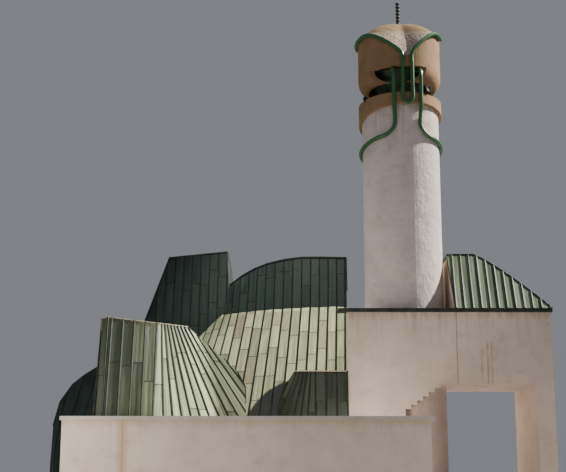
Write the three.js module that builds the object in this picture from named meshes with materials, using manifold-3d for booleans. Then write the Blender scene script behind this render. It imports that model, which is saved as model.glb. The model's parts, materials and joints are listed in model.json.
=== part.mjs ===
// Mosque with green copper roof lanterns, a white gate block and a round minaret.
// Millimetres, +Z up. X runs along the gate's front, +Y runs back from it, Z = 0 is the ground.
// The layout is drawn with the gate's front face at Y = 0, and the whole is centred at the end.
import * as THREE from 'three';
import { mergeVertices } from 'three/addons/utils/BufferGeometryUtils.js';
import { ConvexGeometry } from 'three/addons/geometries/ConvexGeometry.js';
import Module from 'manifold-3d';

const wasm = await Module();
wasm.setup();

// Clearance between a piece and the neighbour that cuts it, and where both faces slope
const GAP = 0.3;
const SLOPE_GAP = 0.9;
const DEG = Math.PI / 180;
// How far a cutting box or disc runs past the piece that it cuts
const PAST = 100;

// Gate block: a plastered box carried over a passage
const GATE_LEFT = 2400;
const GATE_RIGHT = 10050;
const GATE_DEPTH = 3500;
const GATE_TOP = 7060;
const WALL = 330;
const JOINT_X = 6500;
const PASSAGE_TOP = 4370;
const PIER_WIDTH = 650;
const PIER_X = GATE_RIGHT - PIER_WIDTH;
const STEP_COUNT = 6;
const STEP_TREAD = 220;
const STEP_RISE = 155;
const STEPS_TOP_X = 5840;
const SLAB = 220;
const COPING_RISE = 140;
const COPING_PROUD = 60;
const COPING_LEFT_END = 2070;

// Roof over the right half of the gate
const GATE_ROOF_BASE = GATE_TOP + COPING_RISE;
const GATE_ROOF_TOP = 9650;
const GATE_RIDGE_X = 7550;
const GATE_RIDGE_Y = 1700;
const GATE_ROOF_SKIN = 180;
const GATE_ROOF_UPRIGHT_SKIN = 306;
const HIP_POWER = 1.25;
const HIP_STEPS = 8;

// Minaret
const TOWER_X = 4800;
const TOWER_Y = 1930;
const SHAFT_RADIUS = 1550;
const SHAFT_WALL = 280;
const SHAFT_TOP = 15500;
const TOWER_SIDES = 64;
const TOWER_DOOR_WIDTH = 800;
const TOWER_DOOR_HEIGHT = 2000;
const FLOOR_TOP = 15000;
const FLOOR_SLAB = 150;
const HEAD_RADIUS = 1680;
const RING_LOW = 15520;
const RING_DROP = 590;
const RING_TURN = 20;
const RING_RAIL = 15915;
const STEM_RADIUS = 600;
const FUNNEL_LOW = 16100;
const FUNNEL_RADIUS = 1250;
const FUNNEL_SKIN = 80;
const HOOD_LOW = 17050;
const HOOD_WALL = 170;
const CEILING_LOW = 17080;
const CEILING = 200;
const HOOD_RIM = 18710;
const HOOD_CREST = 19500;
const HOOD_ROOF = 110;
const HOOD_RINGS = 6;
const BOWL_LOW = 16500;
const BOWL_FOOT_RADIUS = 1390;
const BOWL_BULGE_Z = 16715;
const BOWL_WALL = 130;
const BOWL_STEPS = 6;
const BOWL_CUT = 1230;
const BOWL_CUT_TURN = -9;
const FINIAL_TOP = 20570;
const FINIAL_BEADS = 7;
const FINIAL_RADIUS = 90;
const FINIAL_SHOULDER = 72;
const FINIAL_NECK = 35;
const FINIAL_SIDES = 12;

// The fold at the hood's front faces a little to the right and reaches further round to the left
const FOLD_TURN = 4 * DEG;
const FOLD_DROP = 1350;
const FOLD_POWER = 1.6;
const FOLD_SOFTNESS = 0.09;
const FOLD_REACH_LEFT = 65 * DEG;
const FOLD_REACH_RIGHT = 50 * DEG;

// Green tubes that edge the hood and wrap the shaft
const TUBE_RADIUS = 80;
const TUBE_SIDES = 10;
const TUBE_SUNK = 12;
const TUBE_LINE = HEAD_RADIUS + TUBE_RADIUS - TUBE_SUNK;
const SHAFT_TUBE_LINE = SHAFT_RADIUS + TUBE_RADIUS - TUBE_SUNK;
const INNER_TUBE_X = 195;
const OUTER_TUBE_X = 545;
const RIM_END_LEFT = 111 * DEG;
const RIM_END_RIGHT = 68 * DEG;
const RIM_STEPS = 9;
const LOOP_LOW = 15450;
const LOOP_TUBE_STEPS = 84;
const COLLAR_BEND = 14750;
const COLLAR_TURN = 520;
const COLLAR_FALL = 430;
const COLLAR_STEPS = 7;
const COLLAR_END = 125 * DEG;
const COLLAR_TUBE_STEPS = 60;

// Prayer hall: a quarter of a cone, standing in the corner of two straight walls
const HALL_X = 2560;
const HALL_Y = 9900;
const HALL_RADIUS = 10650;
const HALL_WALL = 350;
const EAVES_Z = 2200;
const EAVES_RADIUS = 10880;
const BREAK_Z = 7670;
const BREAK_RADIUS = 7600;
const CROWN_Z = 8200;
const CROWN_LOW = BREAK_Z - 150;
const ROOF_SKIN = 250;
const HALL_SIDES = 96;
const HALL_DOOR_Y = 5600;
const HALL_DOOR_WIDTH = 1600;
const HALL_DOOR_HEIGHT = 2500;
const CURVED_WALLS = 3;

// How much the roof's thickness measures upright at its crown, and level at its eaves and break
const CROWN_UPRIGHT = 1.02;
const EAVES_LEVEL = 1.25;
const BREAK_LEVEL = 0.75;

// Courtyard wall in front of the hall
const YARD_FRONT = -4000;
const YARD_LEFT = -7240;
const YARD_RIGHT = 4850;
const YARD_WALL = 300;
const YARD_TOP = 2800;
const YARD_COPING = 130;
// The coping reaches further past the wall's free end, on the right
const YARD_COPING_END = 120;
const YARD_RETURN_RIGHT = 4500;
const YARD_RETURN_END = 5000;
const YARD_WAY_IN = 1200;

const MATERIALS = {
  plaster: new THREE.MeshStandardMaterial({ color: 0xd8c9b8, roughness: 0.9 }),
  copper: new THREE.MeshStandardMaterial({ color: 0x6f8468, roughness: 0.6, metalness: 0.3 }),
  flashing: new THREE.MeshStandardMaterial({ color: 0x1f2a26, roughness: 0.5, metalness: 0.4 }),
  render: new THREE.MeshStandardMaterial({ color: 0xa88a6a, roughness: 0.85 }),
  tube: new THREE.MeshStandardMaterial({ color: 0x2c5a34, roughness: 0.4 }),
  finial: new THREE.MeshStandardMaterial({ color: 0x2a2624, roughness: 0.5, metalness: 0.6 }),
};

const mosque = new THREE.Group();

// Solids and meshes

function toSolid(geometry) {
  const bare = geometry.clone();
  bare.deleteAttribute('normal');
  bare.deleteAttribute('uv');
  const merged = mergeVertices(bare, 1e-3);
  const count = merged.attributes.position.count;
  const corners = merged.index ? merged.index.array : [...Array(count).keys()];
  return new wasm.Manifold(new wasm.Mesh({
    numProp: 3,
    vertProperties: new Float32Array(merged.attributes.position.array),
    triVerts: new Uint32Array(corners),
  }));
}

function toGeometry(solid) {
  const mesh = solid.getMesh();
  const geometry = new THREE.BufferGeometry();
  geometry.setAttribute('position', new THREE.BufferAttribute(mesh.vertProperties, 3));
  geometry.setIndex(new THREE.BufferAttribute(mesh.triVerts, 1));
  geometry.computeVertexNormals();
  return geometry;
}

function addPiece(name, solid, material) {
  const mesh = new THREE.Mesh(toGeometry(solid), MATERIALS[material].clone());
  mesh.name = name;
  mosque.add(mesh);
}

function box(x, y, z) {
  const geometry = new THREE.BoxGeometry(x[1] - x[0], y[1] - y[0], z[1] - z[0]);
  geometry.translate((x[0] + x[1]) / 2, (y[0] + y[1]) / 2, (z[0] + z[1]) / 2);
  return toSolid(geometry);
}

function extrude(outline, depth, xAxis, yAxis, zAxis, start) {
  const shape = new THREE.Shape(outline.map(([a, b]) => new THREE.Vector2(a, b)));
  const geometry = new THREE.ExtrudeGeometry(shape, { depth, bevelEnabled: false });
  const turn = new THREE.Matrix4().makeBasis(xAxis, yAxis, zAxis);
  geometry.applyMatrix4(turn.setPosition(start));
  return toSolid(geometry);
}

const X_AXIS = new THREE.Vector3(1, 0, 0);
const Y_AXIS = new THREE.Vector3(0, 1, 0);
const Z_AXIS = new THREE.Vector3(0, 0, 1);

// A prism with an outline of [x, z] points between two Y values
function frontPrism(outline, y) {
  const back = Y_AXIS.clone().negate();
  return extrude(outline, y[1] - y[0], X_AXIS, Z_AXIS, back, new THREE.Vector3(0, y[1], 0));
}

// A prism with an outline of [y, z] points between two X values
function sidePrism(outline, x) {
  return extrude(outline, x[1] - x[0], Y_AXIS, Z_AXIS, X_AXIS, new THREE.Vector3(x[0], 0, 0));
}

// A closed profile of [radius, z] points turned about a vertical axis
function turned(profile, x, y, sides) {
  const points = profile.map(([r, z]) => new THREE.Vector2(r, z));
  const geometry = new THREE.LatheGeometry(points, sides);
  geometry.rotateX(Math.PI / 2);
  geometry.translate(x, y, 0);
  return toSolid(geometry);
}

function tube(points, steps) {
  const section = new THREE.Shape();
  section.absarc(0, 0, TUBE_RADIUS, 0, 2 * Math.PI);
  const path = new THREE.CatmullRomCurve3(points, false, 'centripetal');
  return toSolid(new THREE.ExtrudeGeometry(section, {
    steps, curveSegments: TUBE_SIDES / 2, extrudePath: path,
  }));
}

function hull(points) {
  return toSolid(new ConvexGeometry(points.map((p) => new THREE.Vector3(...p))));
}

// The same points moved towards or away from a centre
function scaled(points, centre, factor) {
  return points.map((p) => p.map((value, i) => centre[i] + (value - centre[i]) * factor));
}

// The separate bodies of a solid that a cut has split, the largest first
function bodies(solid) {
  return solid.decompose().sort((a, b) => b.volume() - a.volume());
}

// Gate block

const towerClear = turned([[0, -PAST], [SHAFT_RADIUS + GAP, -PAST], [SHAFT_RADIUS + GAP, SHAFT_TOP],
  [0, SHAFT_TOP]], TOWER_X, TOWER_Y, TOWER_SIDES);

// The left front wall: its lower right edge climbs in steps to the passage ceiling
function makeFacadeLeft() {
  const outline = [[GATE_LEFT, 0], [STEPS_TOP_X - STEP_COUNT * STEP_TREAD, 0]];
  for (let i = 0; i < STEP_COUNT; i++) {
    const x = STEPS_TOP_X - (STEP_COUNT - i) * STEP_TREAD;
    const z = PASSAGE_TOP - (STEP_COUNT - i) * STEP_RISE;
    outline.push([x, z], [x + STEP_TREAD, z]);
  }
  outline.push([STEPS_TOP_X, PASSAGE_TOP], [JOINT_X, PASSAGE_TOP]);
  outline.push([JOINT_X, GATE_TOP], [GATE_LEFT, GATE_TOP]);
  addPiece('facade_left_wall', frontPrism(outline, [0, WALL]), 'plaster');
}

function makeGateWalls() {
  const backY = [GATE_DEPTH - WALL, GATE_DEPTH];
  const high = [PASSAGE_TOP, GATE_TOP];
  makeFacadeLeft();
  addPiece('facade_right_wall', box([JOINT_X, PIER_X], [0, WALL], high), 'plaster');
  addPiece('gate_right_wall', box([PIER_X, GATE_RIGHT], [0, GATE_DEPTH], [0, GATE_TOP]), 'plaster');
  const leftX = [HALL_X + GAP, HALL_X + WALL];
  addPiece('gate_left_wall', box(leftX, [WALL, GATE_DEPTH], [0, GATE_TOP]), 'plaster');
  const doorHalf = TOWER_DOOR_WIDTH / 2;
  const backLeft = box([HALL_X + WALL, TOWER_X - doorHalf], backY, [0, GATE_TOP]);
  const backRight = box([TOWER_X + doorHalf, PIER_X], backY, high);
  addPiece('gate_back_wall_left', backLeft.subtract(towerClear), 'plaster');
  addPiece('gate_back_wall_right', backRight.subtract(towerClear), 'plaster');
}

function makeGateSlabs() {
  const inside = [WALL, GATE_DEPTH - WALL];
  const passage = box([TOWER_X, PIER_X], inside, [PASSAGE_TOP, PASSAGE_TOP + SLAB]);
  addPiece('passage_ceiling_slab', passage.subtract(towerClear), 'plaster');
  const terrace = [GATE_TOP - SLAB, GATE_TOP];
  const left = box([HALL_X + WALL, TOWER_X], inside, terrace);
  const right = box([TOWER_X, PIER_X], inside, terrace);
  addPiece('terrace_slab_left', left.subtract(towerClear), 'plaster');
  addPiece('terrace_slab_right', right.subtract(towerClear), 'plaster');
}

// Dark sheet copings that cap the block's walls and form the eaves of its roof
function makeGateCopings() {
  const z = [GATE_TOP, GATE_ROOF_BASE];
  const frontY = [-COPING_PROUD, WALL];
  const backY = [GATE_DEPTH - WALL, GATE_DEPTH + COPING_PROUD];
  const rightEnd = GATE_RIGHT + COPING_PROUD;
  const leftX = [HALL_X + GAP, HALL_X + WALL];
  addPiece('front_coping', box([COPING_LEFT_END, rightEnd], frontY, z), 'flashing');
  addPiece('back_coping', box([leftX[0], rightEnd], backY, z).subtract(towerClear), 'flashing');
  const between = [WALL, GATE_DEPTH - WALL];
  addPiece('left_coping', box(leftX, between, z), 'flashing');
  addPiece('right_coping', box([GATE_RIGHT - WALL, rightEnd], between, z), 'flashing');
}

// The roof's outline seen from the front: level, then falling in a curve to the right eaves
function gateRoofOutline(left, top, ridge, right, base) {
  const outline = [[left, base], [right, base]];
  for (let i = HIP_STEPS - 1; i >= 0; i--) {
    const t = i / HIP_STEPS;
    outline.push([ridge + t * (right - ridge), top - Math.pow(t, HIP_POWER) * (top - base)]);
  }
  outline.push([left, top]);
  return outline;
}

// Everything above the front slope of the gate roof, lowered by the given depth
function aboveFrontSlope(lowered) {
  const run = GATE_RIDGE_Y + COPING_PROUD;
  const slope = (GATE_ROOF_TOP - GATE_ROOF_BASE) / run;
  const lift = GATE_ROOF_BASE - lowered;
  const front = [-COPING_PROUD - run, lift - slope * run];
  const back = [GATE_RIDGE_Y + run, lift + slope * (2 * run)];
  const outline = [front, back, [front[0], back[1]]];
  return sidePrism(outline, [GATE_LEFT, GATE_RIGHT + WALL]);
}

function lowered(outline, depth) {
  return outline.map(([x, z]) => [x, z - depth]);
}

function makeGateRoof() {
  const left = JOINT_X;
  const right = GATE_RIGHT + COPING_PROUD;
  const skin = GATE_ROOF_SKIN;
  const y = [-COPING_PROUD, GATE_DEPTH + COPING_PROUD];
  const outer = gateRoofOutline(left, GATE_ROOF_TOP, GATE_RIDGE_X, right, GATE_ROOF_BASE);
  const inner = gateRoofOutline(left - skin, GATE_ROOF_TOP - skin, GATE_RIDGE_X - skin,
    right - 2 * skin, GATE_ROOF_BASE);
  const body = frontPrism(outer, y).subtract(aboveFrontSlope(0));
  const hollow = frontPrism(lowered(inner, GAP), [y[0] - skin, y[1] + skin])
    .subtract(aboveFrontSlope(GATE_ROOF_UPRIGHT_SKIN));
  addPiece('gate_roof', body.subtract(hollow), 'copper');

  // The walls under the roof's left and back edges fill the hollow's ends
  const wallSpace = frontPrism(lowered(inner, SLOPE_GAP), [0, GATE_DEPTH])
    .subtract(aboveFrontSlope(GATE_ROOF_UPRIGHT_SKIN + SLOPE_GAP));
  const above = [GATE_ROOF_BASE, GATE_ROOF_TOP];
  const gable = box([left, left + WALL], [WALL, GATE_DEPTH], above);
  addPiece('gate_gable_wall', gable.intersect(wallSpace), 'plaster');
  const back = box([left + WALL, right], [GATE_DEPTH - WALL, GATE_DEPTH], above);
  addPiece('gate_roof_back_wall', back.intersect(wallSpace), 'plaster');
}

// Minaret

// A point around the tower, at an angle to the right of the middle of the hood's fold
function aroundTower(angle, radius, z) {
  const turn = angle + FOLD_TURN;
  return new THREE.Vector3(TOWER_X + radius * Math.sin(turn), TOWER_Y - radius * Math.cos(turn), z);
}

// A ring between two radii and two heights, turned about the tower's axis
function towerRing(inner, outer, low, high) {
  return turned([[inner, low], [outer, low], [outer, high], [inner, high], [inner, low]],
    TOWER_X, TOWER_Y, TOWER_SIDES);
}

function towerDisc(radius, low, high) {
  return turned([[0, low], [radius, low], [radius, high], [0, high]], TOWER_X, TOWER_Y, TOWER_SIDES);
}

function rotatedAboutTower(solid, degrees) {
  return solid.translate([-TOWER_X, -TOWER_Y, 0]).rotate([0, 0, degrees]).translate([TOWER_X, TOWER_Y, 0]);
}

function makeShaft() {
  const half = TOWER_DOOR_WIDTH / 2;
  const door = box([TOWER_X - half, TOWER_X + half],
    [TOWER_Y + SHAFT_RADIUS / 2, TOWER_Y + 2 * SHAFT_RADIUS], [-PAST, TOWER_DOOR_HEIGHT]);
  const inner = SHAFT_RADIUS - SHAFT_WALL;
  addPiece('minaret_shaft', towerRing(inner, SHAFT_RADIUS, 0, SHAFT_TOP).subtract(door), 'plaster');
  addPiece('balcony_floor', towerDisc(inner - GAP, FLOOR_TOP - FLOOR_SLAB, FLOOR_TOP), 'render');
}

// The balcony's collar has a level rail, and its lower edge slants down towards the back
function makeBalconyRing() {
  const reach = 2 * HEAD_RADIUS;
  const side = [
    [TOWER_Y - reach, RING_LOW + RING_DROP / 2], [TOWER_Y + reach, RING_LOW - 1.5 * RING_DROP],
    [TOWER_Y + reach, RING_RAIL], [TOWER_Y - reach, RING_RAIL],
  ];
  const wedge = sidePrism(side, [TOWER_X - reach, TOWER_X + reach]);
  const shell = towerRing(SHAFT_RADIUS + GAP, HEAD_RADIUS, RING_LOW - 2 * RING_DROP, RING_RAIL);
  addPiece('balcony_ring', shell.intersect(rotatedAboutTower(wedge, RING_TURN)), 'render');
}

function makeStem() {
  addPiece('balcony_stem', towerDisc(STEM_RADIUS, FLOOR_TOP, FUNNEL_LOW), 'render');
  const top = CEILING_LOW + CEILING / 2;
  const funnel = [
    [STEM_RADIUS - FUNNEL_SKIN, FUNNEL_LOW], [STEM_RADIUS, FUNNEL_LOW], [FUNNEL_RADIUS, top],
    [FUNNEL_RADIUS - FUNNEL_SKIN, top], [STEM_RADIUS - FUNNEL_SKIN, FUNNEL_LOW],
  ];
  addPiece('hood_funnel', turned(funnel, TOWER_X, TOWER_Y, TOWER_SIDES), 'tube');
}

// How far the hood's rim has dropped at an angle from the middle of the fold
function foldDrop(angle) {
  const turnedBy = Math.atan2(Math.sin(angle), Math.cos(angle));
  const reach = turnedBy < 0 ? FOLD_REACH_LEFT : FOLD_REACH_RIGHT;
  const share = Math.max(0, 1 - Math.hypot(turnedBy / reach, FOLD_SOFTNESS));
  return FOLD_DROP * Math.pow(share, FOLD_POWER);
}

// Height of the hood's top at a radius and angle: a dome whose front is drawn down into the fold
function hoodTop(radius, angle) {
  const rim = HOOD_RIM - foldDrop(angle);
  const share = Math.min(1, radius / HEAD_RADIUS);
  return rim + (HOOD_CREST - rim) * (1 - share * share);
}

// Turned rings whose points are then lowered or raised to the hood's top, less a depth
function underHood(profile, depthOf) {
  const points = profile.map(([r, z]) => new THREE.Vector2(r, z));
  const geometry = new THREE.LatheGeometry(points, TOWER_SIDES);
  geometry.rotateX(Math.PI / 2);
  const position = geometry.attributes.position;
  for (let i = 0; i < position.count; i++) {
    const x = position.getX(i);
    const y = position.getY(i);
    const depth = depthOf(position.getZ(i));
    const angle = Math.atan2(x, -y) - FOLD_TURN;
    if (depth !== null) position.setZ(i, hoodTop(Math.hypot(x, y), angle) - depth);
  }
  geometry.translate(TOWER_X, TOWER_Y, 0);
  return toSolid(geometry);
}

function makeHood() {
  const shares = [...Array(HOOD_RINGS + 1).keys()].map((i) => i / HOOD_RINGS);
  const lower = shares.map((share) => [HEAD_RADIUS * share, 0]);
  const upper = shares.map((share) => [HEAD_RADIUS * share, 1]).reverse();
  const roof = underHood([...lower, ...upper], (z) => (z > 0.5 ? 0 : HOOD_ROOF));
  addPiece('hood_roof', roof, 'render');

  // The drum runs up into the roof's thickness, where the roof cuts it
  const inner = HEAD_RADIUS - HOOD_WALL;
  const drum = underHood([[inner, HOOD_LOW], [HEAD_RADIUS, HOOD_LOW], [HEAD_RADIUS, HOOD_RIM],
    [inner, HOOD_RIM], [inner, HOOD_LOW]], (z) => (z > HOOD_LOW + 1 ? HOOD_ROOF / 2 : null));
  addPiece('hood_drum', drum.subtract(roof.translate([0, 0, -GAP])), 'render');

  const ceiling = towerRing(FUNNEL_RADIUS + GAP, inner - GAP, CEILING_LOW, CEILING_LOW + CEILING);
  addPiece('hood_ceiling', ceiling, 'tube');
}

// Below the drum the hood turns inwards like a bowl, which is cut away at the front
function makeBowl() {
  const curve = new THREE.QuadraticBezierCurve(new THREE.Vector2(BOWL_FOOT_RADIUS, BOWL_LOW),
    new THREE.Vector2(HEAD_RADIUS, BOWL_BULGE_Z), new THREE.Vector2(HEAD_RADIUS, HOOD_LOW - GAP));
  const outside = curve.getPoints(BOWL_STEPS).map((p) => [p.x, p.y]);
  const inside = outside.map(([r, z]) => [r - BOWL_WALL, z]).reverse();
  const bowl = turned([...outside, ...inside, outside[0]], TOWER_X, TOWER_Y, TOWER_SIDES);
  const reach = 2 * HEAD_RADIUS;
  const kept = box([TOWER_X - reach, TOWER_X + reach], [TOWER_Y - BOWL_CUT, TOWER_Y + reach],
    [BOWL_LOW - PAST, HOOD_LOW]);
  addPiece('hood_bowl', bowl.intersect(rotatedAboutTower(kept, BOWL_CUT_TURN)), 'render');
}

function makeFinial() {
  const base = HOOD_CREST + GAP;
  const bead = (FINIAL_TOP - base) / FINIAL_BEADS;
  const profile = [[0, base], [FINIAL_NECK, base]];
  for (let i = 0; i < FINIAL_BEADS; i++) {
    const z = base + i * bead;
    profile.push([FINIAL_SHOULDER, z + bead / 4], [FINIAL_RADIUS, z + bead / 2]);
    profile.push([FINIAL_SHOULDER, z + bead * 3 / 4]);
    if (i < FINIAL_BEADS - 1) profile.push([FINIAL_NECK, z + bead]);
  }
  profile.push([0, FINIAL_TOP]);
  addPiece('finial', turned(profile, TOWER_X, TOWER_Y, FINIAL_SIDES), 'finial');
}

// One half of the loop: round the hood's rim from its end, down the fold and to the foot of the loop
function loopHalf(side, end) {
  const inner = Math.asin(INNER_TUBE_X / TUBE_LINE);
  const foldEdge = 1.6 * inner;
  const points = [];
  for (let i = 0; i <= RIM_STEPS; i++) {
    const angle = side * (end + (foldEdge - end) * (i / RIM_STEPS));
    points.push(aroundTower(angle, TUBE_LINE, HOOD_RIM - foldDrop(angle) - TUBE_RADIUS));
  }
  const fold = HOOD_RIM - foldDrop(inner) - 2.5 * TUBE_RADIUS;
  for (const z of [fold, HOOD_LOW, (HOOD_LOW + LOOP_LOW) / 2, LOOP_LOW + INNER_TUBE_X]) {
    points.push(aroundTower(side * inner, TUBE_LINE, z));
  }
  points.push(aroundTower(side * inner * 0.7, TUBE_LINE, LOOP_LOW + INNER_TUBE_X * 0.3));
  return points;
}

// One tube follows the hood's rim down into the fold on both sides and joins in a plain loop below
function makeLoopTube() {
  const bottom = aroundTower(0, TUBE_LINE, LOOP_LOW);
  const points = [...loopHalf(-1, RIM_END_LEFT), bottom, ...loopHalf(1, RIM_END_RIGHT).reverse()];
  const seat = towerDisc(HEAD_RADIUS + GAP, LOOP_LOW - 2 * TUBE_RADIUS, HOOD_CREST);
  addPiece('hood_loop_tube', tube(points, LOOP_TUBE_STEPS).subtract(seat), 'tube');
}

// Two outer tubes drop from the hood, swing outwards and wrap the shaft
function makeCollarTube(name, side) {
  const start = Math.asin(OUTER_TUBE_X / TUBE_LINE);
  const underCeiling = CEILING_LOW - TUBE_RADIUS - GAP;
  const points = [
    aroundTower(side * start * 1.2, TUBE_LINE - 420, underCeiling),
    aroundTower(side * start * 1.1, TUBE_LINE - 150, underCeiling - 75),
    aroundTower(side * start, TUBE_LINE, underCeiling - 260),
    aroundTower(side * start, TUBE_LINE, RING_RAIL),
    aroundTower(side * start, TUBE_LINE, RING_LOW - TUBE_RADIUS),
    aroundTower(side * start, SHAFT_TUBE_LINE, COLLAR_BEND),
    aroundTower(side * start * 1.12, SHAFT_TUBE_LINE, COLLAR_BEND - 260),
  ];
  const first = start * 1.7;
  for (let i = 0; i <= COLLAR_STEPS; i++) {
    const t = i / COLLAR_STEPS;
    const z = COLLAR_BEND - COLLAR_TURN - COLLAR_FALL * t;
    points.push(aroundTower(side * (first + (COLLAR_END - first) * t), SHAFT_TUBE_LINE, z));
  }
  const ringSeat = towerDisc(HEAD_RADIUS + GAP, RING_LOW - TUBE_RADIUS, RING_RAIL);
  const shaftSeat = towerDisc(SHAFT_RADIUS + GAP, 0, SHAFT_TOP);
  addPiece(name, tube(points, COLLAR_TUBE_STEPS).subtract(ringSeat).subtract(shaftSeat), 'tube');
}

// Prayer hall

function quadrant(low, high) {
  const reach = 2 * EAVES_RADIUS;
  return box([HALL_X - reach, HALL_X], [HALL_Y - reach, HALL_Y], [low, high]);
}

// The facade's end stands in front of the hall's side wall, which steps back to clear it
const facadeClear = box([GATE_LEFT - GAP, GATE_RIGHT], [YARD_FRONT, WALL + GAP], [-PAST, GATE_TOP]);

function coneProfile(inset) {
  const top = inset * CROWN_UPRIGHT;
  return [[0, -PAST], [HALL_RADIUS - inset, -PAST], [HALL_RADIUS - inset, EAVES_Z],
    [EAVES_RADIUS - inset * EAVES_LEVEL, EAVES_Z],
    [BREAK_RADIUS - inset * BREAK_LEVEL, BREAK_Z - top], [0, CROWN_Z - top]];
}

function coneSolid(inset) {
  return turned(coneProfile(inset), HALL_X, HALL_Y, HALL_SIDES);
}

// A point at an angle to the left of the hall's right-hand wall
function onHall(angle, radius, z) {
  return [HALL_X - radius * Math.sin(angle * DEG), HALL_Y - radius * Math.cos(angle * DEG), z];
}

// Roof lanterns: each is a convex shell whose points list its top edge, its curved flank and its foot

// Large lantern at the front left: flat front, then a fan of copper that turns to the right flank
const FRONT_LANTERN = {
  name: 'front_lantern',
  centre: [-4300, 600, 0],
  thin: 0.94,
  points: [
    [-6400, -2000, 6500], [-6150, -2250, 6500], [-4366, -2050, 6302], [-3436, -1300, 6289],
    [-6300, 1500, 6300], [-3700, 2600, 5800], [-3330, 150, 6270], [-2620, 400, 5650], [-2170, 650, 5310],
    [-1760, 900, 4930], [-1440, 1120, 4330], [-1380, 450, 3200], [-1340, -100, 0], [-1780, -100, 3200],
    [-1800, -650, 0], [-2800, -950, 3200], [-2900, -1600, 0], [-3600, -1950, 3200], [-3700, -2450, 0],
    [-4310, -2600, 3200], [-4380, -3050, 0], [-6120, -2950, 3200], [-6200, -3300, 0],
    [-6450, -2700, 3200], [-6550, -2950, 0], [-6600, 2200, 0], [-6500, 2000, 3200], [-3000, 3500, 0],
  ],
};

// Tall lantern at the back left: flat leaning front, upright cut on its right
const TALL_LANTERN = {
  name: 'tall_lantern',
  centre: [-3900, 7000, 5000],
  thin: 0.92,
  points: [
    [-2390, 5000, 10530], [-5020, 6000, 10500], [-4750, 8300, 10300], [-2390, 8300, 10300],
    [-2250, 4150, 7670], [-5980, 5600, 7600], [-5800, 9200, 7600], [-2250, 9200, 7600],
    [-2150, 3400, 4200], [-6150, 5700, 4200], [-5900, 9300, 4200], [-2150, 9300, 4200],
  ],
};

// Broad lantern at the right: follows the roof's break, level on the right, curving down to the left
const BROAD_LANTERN_TOP = [[0, 9735], [8, 9770], [14.5, 9805], [20, 9760], [26, 9655], [31, 9495],
  [36, 9265], [41.2, 8960]];
const BROAD_TOP_RADIUS = 7300;
const BROAD_LOW_RADIUS = BREAK_RADIUS + 20;
const BROAD_FOOT_Z = 6500;
const BROAD_LANTERN = {
  name: 'broad_lantern',
  centre: [200, 6000, 6500],
  thin: 0.92,
  points: [
    ...BROAD_LANTERN_TOP.map(([angle, z]) => onHall(angle, BROAD_TOP_RADIUS, z)),
    ...BROAD_LANTERN_TOP.map(([angle]) => onHall(angle, BROAD_LOW_RADIUS, BREAK_Z)),
    ...BROAD_LANTERN_TOP.map(([angle]) => onHall(angle, BROAD_LOW_RADIUS, BROAD_FOOT_Z)),
    [HALL_X, 7600, 8400], [-2100, 6800, 8300], [HALL_X, 7700, BROAD_FOOT_Z], [-2150, 6900, BROAD_FOOT_Z],
  ],
};

// Small lantern against the gate: level top edge, fan on its left flank
const SMALL_LANTERN = {
  name: 'small_lantern',
  centre: [1300, 500, 0],
  thin: 0.93,
  points: [
    [430, -350, 4800], [2360, -350, 4800], [2360, 900, 4850], [700, 900, 4850],
    [110, -50, 4330], [-130, 150, 3740], [-200, 0, 3100], [-260, -300, 0], [250, -900, 0],
    [900, -1150, 0], [2360, -1150, 0], [2360, 1400, 0], [-260, 1000, 0],
  ],
};

// Side lantern on the far left flank
const SIDE_LANTERN = {
  name: 'side_lantern',
  centre: [-7600, 6400, 0],
  thin: 0.93,
  points: [
    [-6700, 4200, 5600], [-7800, 5000, 5560], [-7300, 7600, 5500], [-6000, 7600, 5500],
    [-8400, 5200, 5230], [-8950, 5350, 4830], [-9500, 5550, 4100], [-9800, 5750, 3100],
    [-9900, 5900, 0], [-9200, 4500, 0], [-8200, 3700, 0], [-6900, 3300, 0],
    [-9700, 8300, 0], [-9500, 8100, 3100], [-6000, 8300, 0],
  ],
};

const LANTERNS = [FRONT_LANTERN, TALL_LANTERN, BROAD_LANTERN, SMALL_LANTERN, SIDE_LANTERN];
// A lantern grown by this about its centre clears the pieces that stop against it
const LANTERN_CLEARANCE = 1.0003;
// A lantern's inner space is let down from this band above its foot, so that it opens into the hall
const FOOT_BAND = 400;
const FOOT_REACH = 900;

function lanternOuter(lantern) {
  return hull(lantern.points);
}

function lanternClear(lantern) {
  return hull(scaled(lantern.points, lantern.centre, LANTERN_CLEARANCE));
}

function lanternInner(lantern) {
  const inner = scaled(lantern.points, lantern.centre, lantern.thin);
  const low = Math.min(...inner.map((p) => p[2]));
  const foot = inner.filter((p) => p[2] < low + FOOT_BAND).map(([x, y, z]) => [x, y, z - FOOT_REACH]);
  return hull([...inner, ...foot]);
}

function withoutAll(solid, cutters) {
  return cutters.reduce((rest, cutter) => rest.subtract(cutter), solid);
}

// Each lantern stands on the roof and stops against the lanterns made before it
function makeLanterns() {
  const envelope = coneSolid(-GAP).intersect(quadrant(-PAST, 2 * BREAK_Z));
  LANTERNS.forEach((lantern, index) => {
    const shell = lanternOuter(lantern).subtract(lanternInner(lantern)).subtract(envelope);
    const earlier = LANTERNS.slice(0, index).map(lanternClear);
    addPiece(lantern.name, bodies(withoutAll(shell, earlier))[0], 'copper');
  });
}

function makeHallRoof() {
  const skin = coneSolid(0).subtract(coneSolid(ROOF_SKIN));
  const openings = LANTERNS.map(lanternInner);
  const skirt = skin.intersect(quadrant(EAVES_Z, CROWN_LOW)).subtract(facadeClear);
  const crown = skin.intersect(quadrant(CROWN_LOW, CROWN_Z + PAST));
  addPiece('hall_roof_skirt', bodies(withoutAll(skirt, openings))[0], 'copper');
  addPiece('hall_roof_crown', bodies(withoutAll(crown, openings))[0], 'copper');
}

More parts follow.
